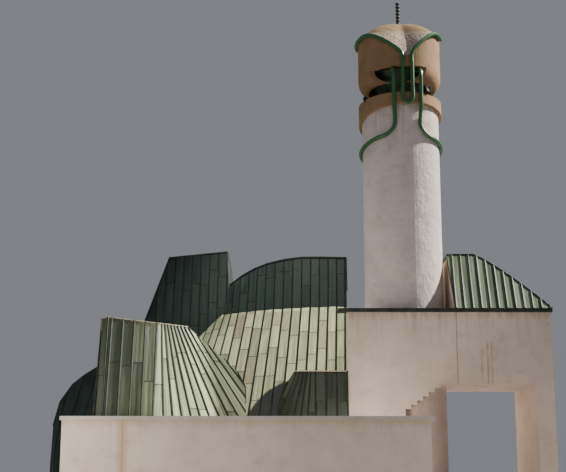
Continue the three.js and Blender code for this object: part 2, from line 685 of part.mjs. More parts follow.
// The low curved wall runs between the lanterns that reach the ground
function makeCurvedWalls() {
  const inner = HALL_RADIUS - HALL_WALL;
  const ring = turned([[inner, 0], [HALL_RADIUS, 0], [HALL_RADIUS, EAVES_Z], [inner, EAVES_Z], [inner, 0]],
    HALL_X, HALL_Y, HALL_SIDES);
  const quarter = ring.intersect(quadrant(0, EAVES_Z)).subtract(facadeClear);
  const parts = bodies(withoutAll(quarter, LANTERNS.map(lanternClear)));
  parts.slice(0, CURVED_WALLS).forEach((part, i) => {
    addPiece('hall_curved_wall_' + (i + 1), part, 'plaster');
  });
}

// Two straight walls close the hall, under the inner face of its roof
function makeStraightWalls() {
  const under = coneProfile(HALL_WALL + GAP).filter(([r]) => r > 0);
  const ridge = CROWN_Z - HALL_WALL * CROWN_UPRIGHT - GAP;
  const section = [[0, 0], [under[0][0], 0], ...under.slice(1), [0, ridge]].reverse();
  const side = sidePrism(section.map(([r, z]) => [HALL_Y - r, z]), [HALL_X - HALL_WALL, HALL_X]);
  const door = box([HALL_X - 2 * HALL_WALL, HALL_X + HALL_WALL],
    [HALL_DOOR_Y, HALL_DOOR_Y + HALL_DOOR_WIDTH], [-PAST, HALL_DOOR_HEIGHT]);
  addPiece('hall_side_wall', side.subtract(door).subtract(facadeClear), 'plaster');
  const back = frontPrism(section.map(([r, z]) => [HALL_X - HALL_WALL - r, z]),
    [HALL_Y - HALL_WALL, HALL_Y]);
  addPiece('hall_back_wall', back.intersect(coneSolid(HALL_WALL + GAP)), 'plaster');
}

// Courtyard

function makeYard() {
  const frontY = [YARD_FRONT, YARD_FRONT + YARD_WALL];
  const proud = COPING_PROUD;
  addPiece('yard_front_wall', box([YARD_LEFT, YARD_RIGHT], frontY, [0, YARD_TOP]), 'plaster');
  addPiece('yard_front_coping', box([YARD_LEFT - proud, YARD_RIGHT + YARD_COPING_END],
    [frontY[0] - proud, frontY[1] + proud], [YARD_TOP, YARD_TOP + YARD_COPING]), 'plaster');
  const sideZ = [0, YARD_TOP + YARD_COPING];
  const sideStart = frontY[1] + proud;
  const left = box([YARD_LEFT, YARD_LEFT + YARD_WALL], [sideStart, YARD_RETURN_END], sideZ);
  addPiece('yard_left_wall', bodies(left.subtract(lanternClear(SIDE_LANTERN)))[0], 'plaster');
  addPiece('yard_right_wall', box([YARD_RETURN_RIGHT - YARD_WALL, YARD_RETURN_RIGHT],
    [sideStart, -YARD_WAY_IN], sideZ), 'plaster');
}

makeGateWalls();
makeGateSlabs();
makeGateCopings();
makeGateRoof();
makeShaft();
makeBalconyRing();
makeStem();
makeHood();
makeBowl();
makeFinial();
makeLoopTube();
makeCollarTube('collar_tube_left', -1);
makeCollarTube('collar_tube_right', 1);
makeCurvedWalls();
makeStraightWalls();
makeHallRoof();
makeLanterns();
makeYard();

// The frame's origin is at the middle of the whole plan, on the ground
const bounds = new THREE.Box3().setFromObject(mosque);
mosque.position.set(-(bounds.min.x + bounds.max.x) / 2, -(bounds.min.y + bounds.max.y) / 2, 0);

export default mosque;
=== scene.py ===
# %% [markdown]
# A mosque with copper roofs
#
# This lesson dresses a finished building model: a prayer hall under a quarter-cone roof with
# five copper lanterns, a plastered gate block over a passage, a round minaret with a hood,
# and a courtyard wall. The construction is fixed and comes in as a frame. Everything here is
# about the surface: copper trays and their seams, plaster, painted tubes, and the light.

# %% Load the frame
import json
import math
import random
from contextlib import contextmanager
import bmesh
import bpy
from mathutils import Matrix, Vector

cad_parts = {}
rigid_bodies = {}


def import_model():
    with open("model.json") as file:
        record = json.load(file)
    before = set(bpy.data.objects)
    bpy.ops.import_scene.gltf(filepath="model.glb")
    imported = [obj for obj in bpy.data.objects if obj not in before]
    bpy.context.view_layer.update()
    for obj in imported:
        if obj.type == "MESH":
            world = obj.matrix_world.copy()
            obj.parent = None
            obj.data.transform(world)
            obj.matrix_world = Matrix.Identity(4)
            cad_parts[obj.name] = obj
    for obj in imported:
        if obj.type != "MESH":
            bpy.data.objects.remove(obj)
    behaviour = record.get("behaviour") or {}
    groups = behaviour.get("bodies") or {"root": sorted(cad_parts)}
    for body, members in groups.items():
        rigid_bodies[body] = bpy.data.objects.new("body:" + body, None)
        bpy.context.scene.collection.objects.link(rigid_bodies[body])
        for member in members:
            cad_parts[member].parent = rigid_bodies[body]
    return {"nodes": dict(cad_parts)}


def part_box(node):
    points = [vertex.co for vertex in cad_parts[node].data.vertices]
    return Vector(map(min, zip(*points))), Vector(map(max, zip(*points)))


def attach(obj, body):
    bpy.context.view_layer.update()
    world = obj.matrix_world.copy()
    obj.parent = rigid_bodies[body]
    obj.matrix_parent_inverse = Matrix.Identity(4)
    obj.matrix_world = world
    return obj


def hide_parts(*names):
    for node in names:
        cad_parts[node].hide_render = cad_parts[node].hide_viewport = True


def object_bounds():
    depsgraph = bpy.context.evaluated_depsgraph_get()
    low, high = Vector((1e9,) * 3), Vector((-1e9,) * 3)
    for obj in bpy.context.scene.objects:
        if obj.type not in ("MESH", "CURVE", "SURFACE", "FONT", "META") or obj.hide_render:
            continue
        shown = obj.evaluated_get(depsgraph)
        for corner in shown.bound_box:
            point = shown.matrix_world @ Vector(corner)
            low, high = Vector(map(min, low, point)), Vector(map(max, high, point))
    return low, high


SEED = 41
chance = random.Random(SEED)
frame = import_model()
cad_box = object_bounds()
nodes = frame["nodes"]
print("nodes:", len(nodes), "box:", [tuple(round(v, 2) for v in corner) for corner in cad_box])

# %% [markdown]
# The building was drawn with the gate's front face at y = 0, and the frame has its origin in
# the middle of the plan. So all places here are written as on the drawing, and one helper
# shifts them into the frame. The shift is read from a wall whose place on the drawing is known.

# %% The drawing's zero
GATE_LEFT = 2.40
GATE_RIGHT = 10.05
GATE_TOP = 7.06
JOINT_X = 6.50
TOWER_X = 4.80
TOWER_Y = 1.93
HALL_X = 2.56
HALL_Y = 9.90
drawing_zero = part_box("facade_left_wall")[0] - Vector((GATE_LEFT, 0, 0))


def at(x, y, z):
    """A place on the drawing, in the frame."""
    return drawing_zero + Vector((x, y, z))


print("drawing zero in the frame:", tuple(round(v, 3) for v in drawing_zero))

# %% [markdown]
# The camera stands in front of the building at eye height and looks up a little. The lens is
# long, so the walls converge only slightly, and a small shift lifts the frame to take in the
# minaret. Tilting the camera further up would do that too, but the walls would lean more.

# %% Camera
EYE_HEIGHT = 1.0
EYE_DISTANCE = 36.0
LOOK_UP = math.radians(10.377)
FRAME_WIDTH = 566
LENS_IN_PIXELS = 972
SHIFT_IN_PIXELS = 62
SENSOR_WIDTH = 36
FARTHEST_SEEN = 500
camera_data = bpy.data.cameras.new("view")
camera_data.sensor_width = SENSOR_WIDTH
camera_data.lens = SENSOR_WIDTH * LENS_IN_PIXELS / FRAME_WIDTH
camera_data.shift_y = SHIFT_IN_PIXELS / FRAME_WIDTH
camera_data.clip_end = FARTHEST_SEEN
camera = bpy.data.objects.new("view", camera_data)
bpy.context.scene.collection.objects.link(camera)
camera.location = at(0, -EYE_DISTANCE, EYE_HEIGHT)
camera.rotation_euler = (math.pi / 2 + LOOK_UP, 0, 0)
bpy.context.scene.camera = camera
print("camera at", tuple(round(v, 2) for v in camera.location), "lens", round(camera_data.lens, 1))

# %% [markdown]
# The light is a studio's: a key from the right, a little behind the gate's front, so that it
# rakes across the copper and leaves the upright fronts in shade. A soft lamp above the hall
# keeps its roof out of the minaret's shadow. An even surround fills the fronts, and so do two
# warm panels: one low on the left, and one in the courtyard, for the light that its walls throw
# on each other. The floor is plain and pale.

# %% Light and floor
KEY_HEIGHT = math.radians(40)
KEY_BEHIND = math.radians(9)
KEY_SOFTNESS = math.radians(3)
KEY_TINT = (1.0, 0.94, 0.85)
PANEL_TINT = (1.0, 0.90, 0.79)
ROOF_LAMP_TINT = (1.0, 0.95, 0.88)
SURROUND_TINT = (0.80, 0.84, 0.93, 1)
SURROUND_STRENGTH = 0.27
FLOOR_SIZE = 36
FLOOR_DEPTH = 0.002


def add_light(name, kind, energy, tint, place, aim):
    """A light of one kind that shines from its place towards its aim."""
    data = bpy.data.lights.new(name, kind)
    data.energy = energy
    data.color = tint
    light = bpy.data.objects.new(name, data)
    bpy.context.scene.collection.objects.link(light)
    light.location = place
    light.rotation_euler = (place - aim).to_track_quat("Z", "Y").to_euler()
    return light


towards_key = Vector((math.cos(KEY_BEHIND) * math.cos(KEY_HEIGHT),
                      math.sin(KEY_BEHIND) * math.cos(KEY_HEIGHT), math.sin(KEY_HEIGHT)))
key = add_light("key", "SUN", 10.0, KEY_TINT, towards_key, Vector((0, 0, 0)))
key.data.angle = KEY_SOFTNESS

for name, place, aim, size, energy in (
        ("left panel", at(-11.0, -9.0, 2.8), at(-5.5, -4.0, 2.0), 4.0, 480),
        ("courtyard panel", at(2.4, -3.0, 1.3), at(3.7, 0.0, 4.8), 0.9, 150)):
    panel = add_light(name, "AREA", energy, PANEL_TINT, place, aim)
    panel.data.size = size
    panel.visible_camera = False

roof_lamp = add_light("roof lamp", "SPOT", 20000, ROOF_LAMP_TINT, at(-1.6, -1.6, 26.0), at(-0.6, 3.2, 5.0))
roof_lamp.data.spot_size = math.radians(32)
roof_lamp.data.spot_blend = 0.5
roof_lamp.data.shadow_soft_size = 1.5

world = bpy.data.worlds.new("surround")
bpy.context.scene.world = world
world.use_nodes = True
surround = world.node_tree.nodes["Background"]
surround.inputs["Color"].default_value = SURROUND_TINT
surround.inputs["Strength"].default_value = SURROUND_STRENGTH

bpy.ops.object.select_all(action="DESELECT")
bpy.ops.mesh.primitive_plane_add(size=FLOOR_SIZE, location=(0, 0, -FLOOR_DEPTH))
floor = bpy.context.object
floor.name = "floor"
bpy.ops.object.transform_apply(location=True, rotation=True, scale=True)
print("key light from", tuple(round(v, 2) for v in towards_key))

# %% [markdown]
# Shader sums read best as sums. The class below wraps a socket of a material's node tree, so
# that an expression on two sockets adds the Math node that works it out. A second class holds
# one material, and its node method makes every other node from its settings and its inputs.

# %% Shader helpers


class Wire:
    """A socket whose value can be used in a sum."""

    def __init__(self, tree, socket):
        self.tree = tree
        self.socket = socket

    def worked(self, operation, *values):
        node = self.tree.nodes.new("ShaderNodeMath")
        node.operation = operation
        for place, value in zip(node.inputs, values):
            plug(self.tree, value, place)
        return Wire(self.tree, node.outputs[0])

    def __add__(self, other):
        return self.worked("ADD", self, other)

    def __sub__(self, other):
        return self.worked("SUBTRACT", self, other)

    def __rsub__(self, other):
        return self.worked("SUBTRACT", other, self)

    def __mul__(self, other):
        return self.worked("MULTIPLY", self, other)

    def __pow__(self, other):
        return self.worked("POWER", self, other)

    def __rpow__(self, other):
        return self.worked("POWER", other, self)

    __radd__ = __add__
    __rmul__ = __mul__

    def part(self):
        """What is left of a number after its whole part."""
        return self.worked("FRACT", self)

    def size(self):
        """The number without its sign."""
        return self.worked("ABSOLUTE", self)

    def at_most(self, other):
        return self.worked("MINIMUM", self, other)


def plug(tree, value, place):
    """Put a wire or a plain value into a node's input."""
    if isinstance(value, Wire):
        tree.links.new(value.socket, place)
    else:
        place.default_value = value


class Finish:
    """One material, with its Principled shader and the coordinates that its patterns read."""

    def __init__(self, name, metallic=0.0):
        self.material = bpy.data.materials.new(name)
        self.material.use_nodes = True
        self.tree = self.material.node_tree
        self.shader = self.tree.nodes["Principled BSDF"]
        self.shader.inputs["Metallic"].default_value = metallic
        self.place = self.node("ShaderNodeTexCoord", output="Object")

    def node(self, kind, settings=None, inputs=None, output=0):
        node = self.tree.nodes.new(kind)
        for key, value in (settings or {}).items():
            setattr(node, key, value)
        for key, value in (inputs or {}).items():
            plug(self.tree, value, node.inputs[key])
        return Wire(self.tree, node.outputs[output])

    def axes(self, vector=None):
        """The x, y and z of a vector, by default of the place on the object."""
        first = self.node("ShaderNodeSeparateXYZ", inputs={0: vector or self.place})
        return [Wire(self.tree, end) for end in first.socket.node.outputs]

    def vector(self, x, y, z):
        return self.node("ShaderNodeCombineXYZ", inputs={0: x, 1: y, 2: z})

    def noise(self, scale, detail, rough, place=None):
        """Clouds, with their scale in waves a metre unless a place of its own is given."""
        inputs = {"Vector": place or self.place, "Scale": scale, "Detail": detail, "Roughness": rough}
        return self.node("ShaderNodeTexNoise", inputs=inputs)

    def random(self, place):
        """The same chance number, from 0 to 1, all over a cell."""
        return self.node("ShaderNodeTexWhiteNoise", {"noise_dimensions": "3D"}, {"Vector": place})

    def ramp(self, value, low, high):
        """0 below low, 1 above high and a smooth rise between. With high below low it falls."""
        start, end = (0.0, 1.0) if high > low else (1.0, 0.0)
        inputs = {"Value": value, "From Min": min(low, high), "From Max": max(low, high),
                  "To Min": start, "To Max": end}
        return self.node("ShaderNodeMapRange", {"interpolation_type": "SMOOTHSTEP"}, inputs)

    def mix(self, share, *colours):
        """A blend of two colours, each a wire or three numbers."""
        first, second = [colour if isinstance(colour, Wire) else (*colour, 1) for colour in colours]
        inputs = {0: share, 6: first, 7: second}
        return self.node("ShaderNodeMix", {"data_type": "RGBA"}, inputs, output=2)

    def show(self, colour, roughness, height=None, depth=None):
        """Send the finished colour, roughness and height, with its depth in metres, to the shader."""
        plug(self.tree, colour, self.shader.inputs["Base Color"])
        plug(self.tree, roughness, self.shader.inputs["Roughness"])
        if height is not None:
            inputs = {"Strength": 1.0, "Distance": depth, "Height": height}
            plug(self.tree, self.node("ShaderNodeBump", inputs=inputs), self.shader.inputs["Normal"])
        return self.material


print("shader helpers ready")

# %% [markdown]
# First the plaster, because the insides of the roofs wear it too. Lime plaster on a building
# like this is warm off-white, trowelled in sweeps, and it darkens where rain has run over it:
# in streaks below a coping, and in a grey band above the ground.

# %% Plaster finishes
PLASTER_LIGHT = (0.74, 0.64, 0.55)
PLASTER_WARM = (0.64, 0.53, 0.45)
PLASTER_STAIN = (0.36, 0.27, 0.205)
PLASTER_ROUGHNESS = 0.88
RUST = (0.30, 0.16, 0.09)
DAMP = (0.30, 0.235, 0.18)
PALE_GREY = (0.60, 0.56, 0.54)


class Plaster(Finish):
    """Trowelled plaster: clouds of two tones, grit, worn marks and a darker foot."""

    def __init__(self, name, light, warm, coarse, stain=PLASTER_STAIN):
        super().__init__(name)
        self.stain = stain
        self.x, self.y, self.z = self.axes()
        clouds = self.noise(0.35, 5, 0.6)
        trowel = self.noise(1.6, 6, 0.62)
        grit = self.noise(24.0, 4, 0.7)
        sweeps = self.noise(1.0, 5, 0.65, self.vector(self.x * 1.3, self.y * 1.3, self.z * 4.5))
        self.tone = self.mix(self.ramp(clouds * 0.6 + trowel * 0.4, 0.38, 0.62), light, warm)
        self.stained(self.ramp(trowel * 0.6 + grit * 0.4, 0.52, 0.72) * 0.45)
        self.stained(self.ramp(sweeps, 0.60, 0.72) * 0.28)
        self.stained(self.ramp(self.z + clouds * 0.6, 0.85, 0.30) * 0.45)
        self.height = trowel * coarse + grit * 0.22 + clouds * 0.4 + sweeps * 0.3

    def stained(self, share, colour=None):
        """Turn the plaster to the stain's colour, or another, where share is high."""
        self.tone = self.mix(share, self.tone, colour or self.stain)

    def streaked(self, top, reach, strength):
        """Rain has run from a height and left streaks that fade downwards."""
        runs = self.noise(1.0, 4, 0.6, self.vector(self.x * 5.5, self.y * 5.5, self.z * 0.22))
        fade = self.ramp(self.z, top - reach, top)
        self.stained(self.ramp(runs, 0.47, 0.68) * fade * strength)
        lip = self.noise(1.0, 4, 0.65, self.vector(self.x * 7, self.y * 7, self.z * 2.0))
        drip = self.ramp(self.z + lip * 0.5, top - 0.08, top + 0.22)
        self.stained(drip * self.ramp(lip, 0.35, 0.6) * strength, RUST)

    def finished(self, depth=0.012):
        return self.show(self.tone, PLASTER_ROUGHNESS, self.height, depth)


hall_plaster = Plaster("hall_plaster", PLASTER_LIGHT, PLASTER_WARM, 0.5).finished()
# The coping's pale grey is partly its own colour and partly painted light, for the sky's light on its top.
coping_plaster = Plaster("coping_plaster", PALE_GREY, (0.50, 0.46, 0.44), 0.4).finished()
# The gable's plaster is lighter than the rest as painted light, for the light the minaret beside it throws
# on it.
gable_plaster_painted_light = Plaster("gable_plaster_painted_light", (0.88, 0.74, 0.60), (0.78, 0.64, 0.50), 0.5).finished()
print("plaster finishes ready")

# %% [markdown]
# The minaret is plastered more roughly than the rest. Its foot stands under the gate, and is
# darkened there as painted shade, the shade under the gate block. Its head has a brown render,
# which has weathered pale and speckled where the hood's top dips into the fold at the front. That
# patch is laid on by its height and by how far forward it lies, so that the rest of the rim keeps
# its brown.

# %% Minaret plaster
SHAFT_STREAKS_TOP = 15.5
SHAFT_SHADE_TOP = 4.6
SHAFT_DEPTH = 0.05
HEAD_DEPTH = 0.025
FOLD_TOP = 18.85
FOLD_FADE = 0.35
FOLD_FRONT_Y = at(0, TOWER_Y - 0.45, 0).y
FOLD_FRONT_FADE = 0.3
shaft = Plaster("shaft_plaster", (0.72, 0.63, 0.60), (0.63, 0.54, 0.51), 1.6)
shaft.streaked(SHAFT_STREAKS_TOP, 2.5, 0.35)
# Painted shade: the foot is darkened up to the gate block's height.
shaft.stained(shaft.ramp(shaft.z, SHAFT_SHADE_TOP, SHAFT_SHADE_TOP - 0.6) * 0.55)
shaft_plaster = shaft.finished(SHAFT_DEPTH)

TAN = ((0.36, 0.225, 0.110), (0.27, 0.168, 0.080), 1.0, (0.15, 0.10, 0.06))
tan_plaster = Plaster("tan_render", *TAN).finished(HEAD_DEPTH)
hood = Plaster("hood_render", *TAN)
speckle = hood.noise(9.0, 5, 0.75)
in_front = hood.ramp(hood.y, FOLD_FRONT_Y, FOLD_FRONT_Y - FOLD_FRONT_FADE)
fold = hood.ramp(hood.z, FOLD_TOP, FOLD_TOP - FOLD_FADE) * in_front
hood.stained(fold * hood.ramp(speckle, 0.36, 0.62) * 0.8, PALE_GREY)
hood_plaster = hood.finished(HEAD_DEPTH)
print("minaret plaster ready")

# %% [markdown]
# The courtyard wall has a joint near its left end. Rust-coloured water has run down both sides of
# it, and along the foot of the coping. Both stains are noise that fades with the distance from
# the joint or the coping, which keeps their edges ragged as real ones are.

# %% Yard plaster
YARD_JOINT_X = -5.24
YARD_COPING_FOOT = 2.8
YELLOWED = (0.56, 0.40, 0.22)
yard = Plaster("yard_plaster", (0.76, 0.66, 0.59), (0.67, 0.57, 0.50), 0.35)
yard.streaked(YARD_COPING_FOOT, 0.7, 0.16)
from_joint = (yard.x - at(YARD_JOINT_X, 0, 0).x).size()
drift = yard.noise(2.2, 4, 0.6)
under_coping = yard.ramp(yard.z + drift * 0.25, YARD_COPING_FOOT - 0.12, YARD_COPING_FOOT + 0.12)
yard.stained(under_coping * 0.5, YELLOWED)
yard.stained(yard.ramp(from_joint + drift * 0.25, 0.42, 0.12) * 0.75, YELLOWED)
yard.stained(yard.ramp(from_joint, 0.022, 0.008) * 0.6, DAMP)
yard_plaster = yard.finished()
print("yard joint at", round(at(YARD_JOINT_X, 0, 0).x, 2))

# %% [markdown]
# The gate's front has two marks of its own: the joint between its two halves, which is a dark
# upright line, and rust that has run down in thin lines on the right half. The joint is also
# sunk a little in the bump, so that it catches the light as a groove.

# %% Gate plaster
RUST_LINES = (7.40, 7.63, 7.78)
RUST_HIGH = 6.05
RUST_LOW = 4.40
gate = Plaster("gate_plaster", (0.73, 0.61, 0.53), (0.64, 0.53, 0.455), 0.7)
gate.streaked(GATE_TOP, 1.8, 0.35)
joint = gate.ramp((gate.x - at(JOINT_X, 0, 0).x).size(), 0.026, 0.010)
rust_spread = gate.noise(1.0, 4, 0.6, gate.vector(gate.x * 9, gate.y, gate.z * 1.3))
rust_height = gate.ramp(gate.z, RUST_HIGH, RUST_HIGH - 0.25) * gate.ramp(gate.z, RUST_LOW - 0.1, RUST_LOW)
for place in RUST_LINES:
    line = gate.ramp((gate.x - at(place, 0, 0).x).size(), 0.055, 0.01)
    gate.stained(line * rust_height * gate.ramp(rust_spread, 0.38, 0.58) * 0.5, RUST)
gate.stained(joint * 0.7, DAMP)
gate.height = gate.height - joint * 0.8
gate_plaster = gate.finished()
print("gate plaster: joint at", round(at(JOINT_X, 0, 0).x, 2))

# %% [markdown]
# Old copper on a roof is never one colour. Each sheet weathers in its own way: green patina on
# most of it and brown where water runs off a joint. Beside each seam the trays are darkened as
# painted shade, the shadow that the raised fold throws. The roofs below carry two maps. One counts
# trays across and measures metres down. The other holds a chance number for each sheet and how far
# below its upper lap a place lies. This finish reads both, so a tint ends exactly at a sheet's
# edges, and its stains start at the lap where they would.

# %% Copper finish
COPPER_DARK = (0.026, 0.034, 0.028)
COPPER_BROWN = (0.20, 0.13, 0.075)
# Painted shadow: the dark of the round patch on the skirt, where the small lantern throws its shadow.
COPPER_PAINTED_SHADOW = (0.014, 0.023, 0.027)
COPPER_METAL = 0.15
COPPER_DEPTH = 0.012


def darker(colour, share):
    return tuple(value * share for value in colour)


class Copper(Finish):
    """Patina between a pale and a deep tone. How much of each is a matter of the sheet and of streaks."""

    def __init__(self, name, pale, deep):
        super().__init__(name, COPPER_METAL)
        self.deep = deep
        self.x, _, self.z = self.axes()
        u, v, _ = self.axes(self.node("ShaderNodeUVMap", {"uv_map": "trays"}))
        self.sheet, self.below, _ = self.axes(self.node("ShaderNodeUVMap", {"uv_map": "sheets"}))
        self.across = (u.part() - 0.5).size()
        self.runs = self.noise(1.0, 5, 0.6, self.vector(u * 6, v * 0.4, self.sheet * 40))
        self.fine = self.noise(1.0, 4, 0.65, self.vector(u * 13, v * 3.0, self.sheet * 17))
        self.cloud = self.noise(0.55, 3, 0.5)
        share = self.ramp(self.runs, 0.34, 0.66) * 0.38 + self.sheet * 0.34
        share = share + self.cloud * 0.26 + self.fine * 0.16
        self.tone = self.mix(self.ramp(share, 0.22, 0.92), deep, pale)
        self.rough = 0.5 + share * 0.2 + self.fine * 0.12

    def paint_shade_beyond(self, start, full):
        """Paint shade over what lies beyond one x, fully from another x on: the side that the key light
        leaves in shade.
        """
        place = self.x + (self.runs - 0.5) * 0.8 + self.sheet * 0.4
        self.tone = self.mix(self.ramp(place, start, full) * 0.92, self.tone, darker(self.deep, 0.25))

    def paint_shadow(self, middle, reach):
        """Paint a shadow: darken a patch that is round as seen from the front."""
        away = ((self.x - middle.x) ** 2 + (self.z - middle.z) ** 2) ** 0.5 + (self.runs - 0.5) * 0.1
        patch = self.ramp(away, reach + 0.05, reach - 0.05)
        self.tone = self.mix(patch * 0.97, self.tone, COPPER_PAINTED_SHADOW)
        self.rough = self.rough + patch * 0.3

    def finished(self, brown_share=0.0):
        """Add painted shade beside the seams and stains below the laps, brown sheets in their share of all,
        and dark spots.
        """
        below_lap = self.ramp(self.below, 0.5, 0.0)
        # Painted shade beside each seam, for its raised fold's shadow, and real stains below each lap.
        seam_shade_and_lap_stain = self.ramp(self.across, 0.33, 0.5) * 0.52 + below_lap * self.ramp(self.runs, 0.46, 0.62) * 0.34
        tone = self.mix(seam_shade_and_lap_stain, self.tone, darker(self.deep, 0.30))
        number = self.random(self.vector(self.sheet * 90, 3, 1))
        brown = self.ramp(number, 1.0 - brown_share, 1.02 - brown_share)
        brown = brown * self.ramp(self.runs + self.fine * 0.5, 0.62, 0.86) * 0.7
        brown_lap = below_lap * self.ramp(self.fine, 0.50, 0.68) * 0.30
        tone = self.mix((brown + brown_lap).at_most(0.8), tone, COPPER_BROWN)
        mottle = self.noise(7.0, 5, 0.7)
        tone = self.mix(self.ramp(mottle, 0.60, 0.74) * 0.22, tone, COPPER_DARK)
        upstand = self.ramp(self.across, 0.42, 0.5) * 0.5
        height = self.fine * 0.35 + mottle * 0.2 + upstand + self.cloud * 0.8 + self.runs * 0.3
        return self.show(tone, self.rough, height, COPPER_DEPTH)


# These coppers are copies of one patina, and part of their difference is painted light and shade: the front
# lantern's and the skirt's are pale for roofs in the light, the shaded and the small lantern's copper dark
# for roofs in shade. The front lantern's left part gets painted shade, and the skirt a painted shadow
# beside the small lantern.
front = Copper("front_copper", (0.58, 0.66, 0.44), (0.18, 0.245, 0.155))
front.paint_shade_beyond(at(-3.8, 0, 0).x, at(-5.3, 0, 0).x)
skirt = Copper("skirt_copper", (0.66, 0.70, 0.43), (0.25, 0.275, 0.155))
skirt.paint_shadow(at(0.9, 0, 2.2), 2.45)
copper = {
    "front": front.finished(0.02),
    "skirt": skirt.finished(0.16),
    "dark": Copper("shaded_copper", (0.028, 0.054, 0.042), (0.010, 0.021, 0.017)).finished(),
    "small": Copper("small_lantern_copper", (0.052, 0.066, 0.044), (0.016, 0.024, 0.016)).finished(),
    "gate": Copper("gate_copper", (0.25, 0.30, 0.185), (0.048, 0.080, 0.045)).finished(),
}
print("copper finishes:", list(copper))

# %% [markdown]
# Seams, edge strips and copings are folded from thicker, darker sheet. The two seam metals and the
# gate's roll metal are darker still, partly as painted shade for the shadow that a raised seam or
# roll throws. They get a plainer finish: two tones in worn patches and a fine grain, since nothing
# on them is wide enough for streaks.

# %% Flashing finishes
FLASHING_METAL = 0.3
FLASHING_DEPTH = 0.006


def flashing_finish(name, colour, worn):
    finish = Finish(name, FLASHING_METAL)
    wear = finish.noise(3.5, 5, 0.65)
    grain = finish.noise(22.0, 3, 0.6)
    tone = finish.mix(finish.ramp(wear, 0.38, 0.68), colour, worn)
    tone = finish.mix(grain * 0.25, tone, colour)
    return finish.show(tone, 0.42 + wear * 0.3, wear + grain * 0.4, FLASHING_DEPTH)


dark_flashing = flashing_finish("dark_flashing", (0.018, 0.022, 0.020), (0.050, 0.058, 0.048))
pale_flashing = flashing_finish("pale_flashing", (0.30, 0.25, 0.18), (0.50, 0.44, 0.34))
# Painted shade in part: the seam metals are near black for the seams' own shadows.
seam_metal = flashing_finish("seam_metal", (0.012, 0.018, 0.012), (0.040, 0.048, 0.030))
dark_seam_metal = flashing_finish("dark_seam_metal", (0.010, 0.015, 0.014), (0.03, 0.04, 0.035))
# Painted shade in part: the rolls are dark for the shadows they throw.
gate_roll_metal = flashing_finish("gate_roll_metal", (0.016, 0.040, 0.028), (0.045, 0.085, 0.060))
print("flashing finishes ready")

# %% [markdown]
# Painted steel tube is smoother than anything else here, and its gloss picks up the key light.
# The same kind of finish, duller and darker, serves the sheet under the hood, the string of beads
# on top and the lamps on the balcony.

# %% Paint and lamp finishes
PAINT_DEPTH = 0.003
FLOOR_TONE = (0.34, 0.325, 0.305, 1)
FLOOR_ROUGHNESS = 0.9


def paint_finish(name, colour, worn, roughness):
    finish = Finish(name)
    wear = finish.noise(4.0, 5, 0.65)
    grain = finish.noise(60.0, 3, 0.6)
    tone = finish.mix(finish.ramp(wear, 0.50, 0.72) * 0.6, colour, worn)
    return finish.show(tone, roughness + wear * 0.15, wear + grain * 0.15, PAINT_DEPTH)


green_paint = paint_finish("green_paint", (0.035, 0.125, 0.042), (0.07, 0.17, 0.075), 0.26)
dark_green = paint_finish("dark_green_sheet", (0.012, 0.045, 0.022), (0.03, 0.07, 0.04), 0.45)
finial_metal = paint_finish("finial_metal", (0.03, 0.026, 0.025), (0.10, 0.095, 0.095), 0.45)
lamp_metal = paint_finish("lamp_metal", (0.012, 0.012, 0.012), (0.03, 0.03, 0.03), 0.6)
floor.data.materials.append(Finish("studio_floor").show(FLOOR_TONE, FLOOR_ROUGHNESS))
print("paint finishes ready")

# %% [markdown]
# A roof in copper trays is sheet metal folded up along both sides of each tray, and the two
# folds stand as a seam. Which way the seams run follows from how a roof sheds water: straight
# down a flat slope, in a fan over a flank, and away from the top on a cone. Each layout below
# gives two things: where a place lies across the trays, and the plane that cuts out one seam.

# %% Seam layouts
ACROSS = (1, 0, 0)
LEFT = (-1, 0, 0)
BACK = (0, 1, 0)
FRONT = (0, -1, 0)
DOWN = (0, 0, -1)


class StraightSeams:
    """Seams a fixed width apart, all at right angles to one direction."""

    def __init__(self, across, start, width):
        self.across = Vector(across).normalized()
        self.start = Vector(start)
        self.width = width

    def count(self, place):
        return (place - self.start).dot(self.across) / self.width

    def plane(self, number):
        return self.start + self.across * number * self.width, self.across


class FanSeams:
    """Seams that fan out from a centre. They are counted from one direction towards another."""

    def __init__(self, centre, ahead, aside, step):
        self.centre = Vector(centre)
        self.ahead = Vector(ahead)
        self.aside = Vector(aside)
        self.step = math.radians(step)

    def count(self, place):
        reach = place - self.centre
        return math.atan2(reach.dot(self.aside), reach.dot(self.ahead)) / self.step

    def plane(self, number):
        angle = number * self.step
        return self.centre, self.aside * math.cos(angle) - self.ahead * math.sin(angle)


class OpeningSeams:
    """Seams down a cone that start almost parallel on its right and open out towards its left.

    A seam starts at a turn round the cone's axis and heads in a direction. Both are in degrees from
    the front to the left. The direction changes slowly with the turn, and faster beyond a bend.
    """

    FIRST = -3
    LAST = 45
    BEND = 35
    FRONT_DIRECTION = 4.2
    BEFORE_BEND = 0.29
    BEYOND_BEND = 1.375

    def __init__(self, axis, radius, start, step, growth, growing):
        self.planes = {}
        for number in range(self.FIRST, self.LAST + 1):
            turn = start + number * (step + growth * min(number, growing))
            direction = self.FRONT_DIRECTION + self.BEFORE_BEND * min(turn, self.BEND)
            direction += self.BEYOND_BEND * max(turn - self.BEND, 0)
            turn, direction = math.radians(turn), math.radians(direction)
            point = Vector(axis) + Vector((-math.sin(turn), -math.cos(turn), 0)) * radius
            self.planes[number] = point, Vector((-math.cos(direction), math.sin(direction), 0))

    def beyond(self, place, number):
        """How far a place lies to the left of one seam."""
        point, normal = self.planes[number]
        return (place - point).dot(normal)

    def count(self, place):
        low, high = self.FIRST, self.LAST
        while high - low > 1:
            middle = (low + high) // 2
            if self.beyond(place, middle) > 0:
                low = middle
            else:
                high = middle
        near, far = self.beyond(place, low), self.beyond(place, high)
        return low + near / (near - far)

    def plane(self, number):
        return self.planes[number]


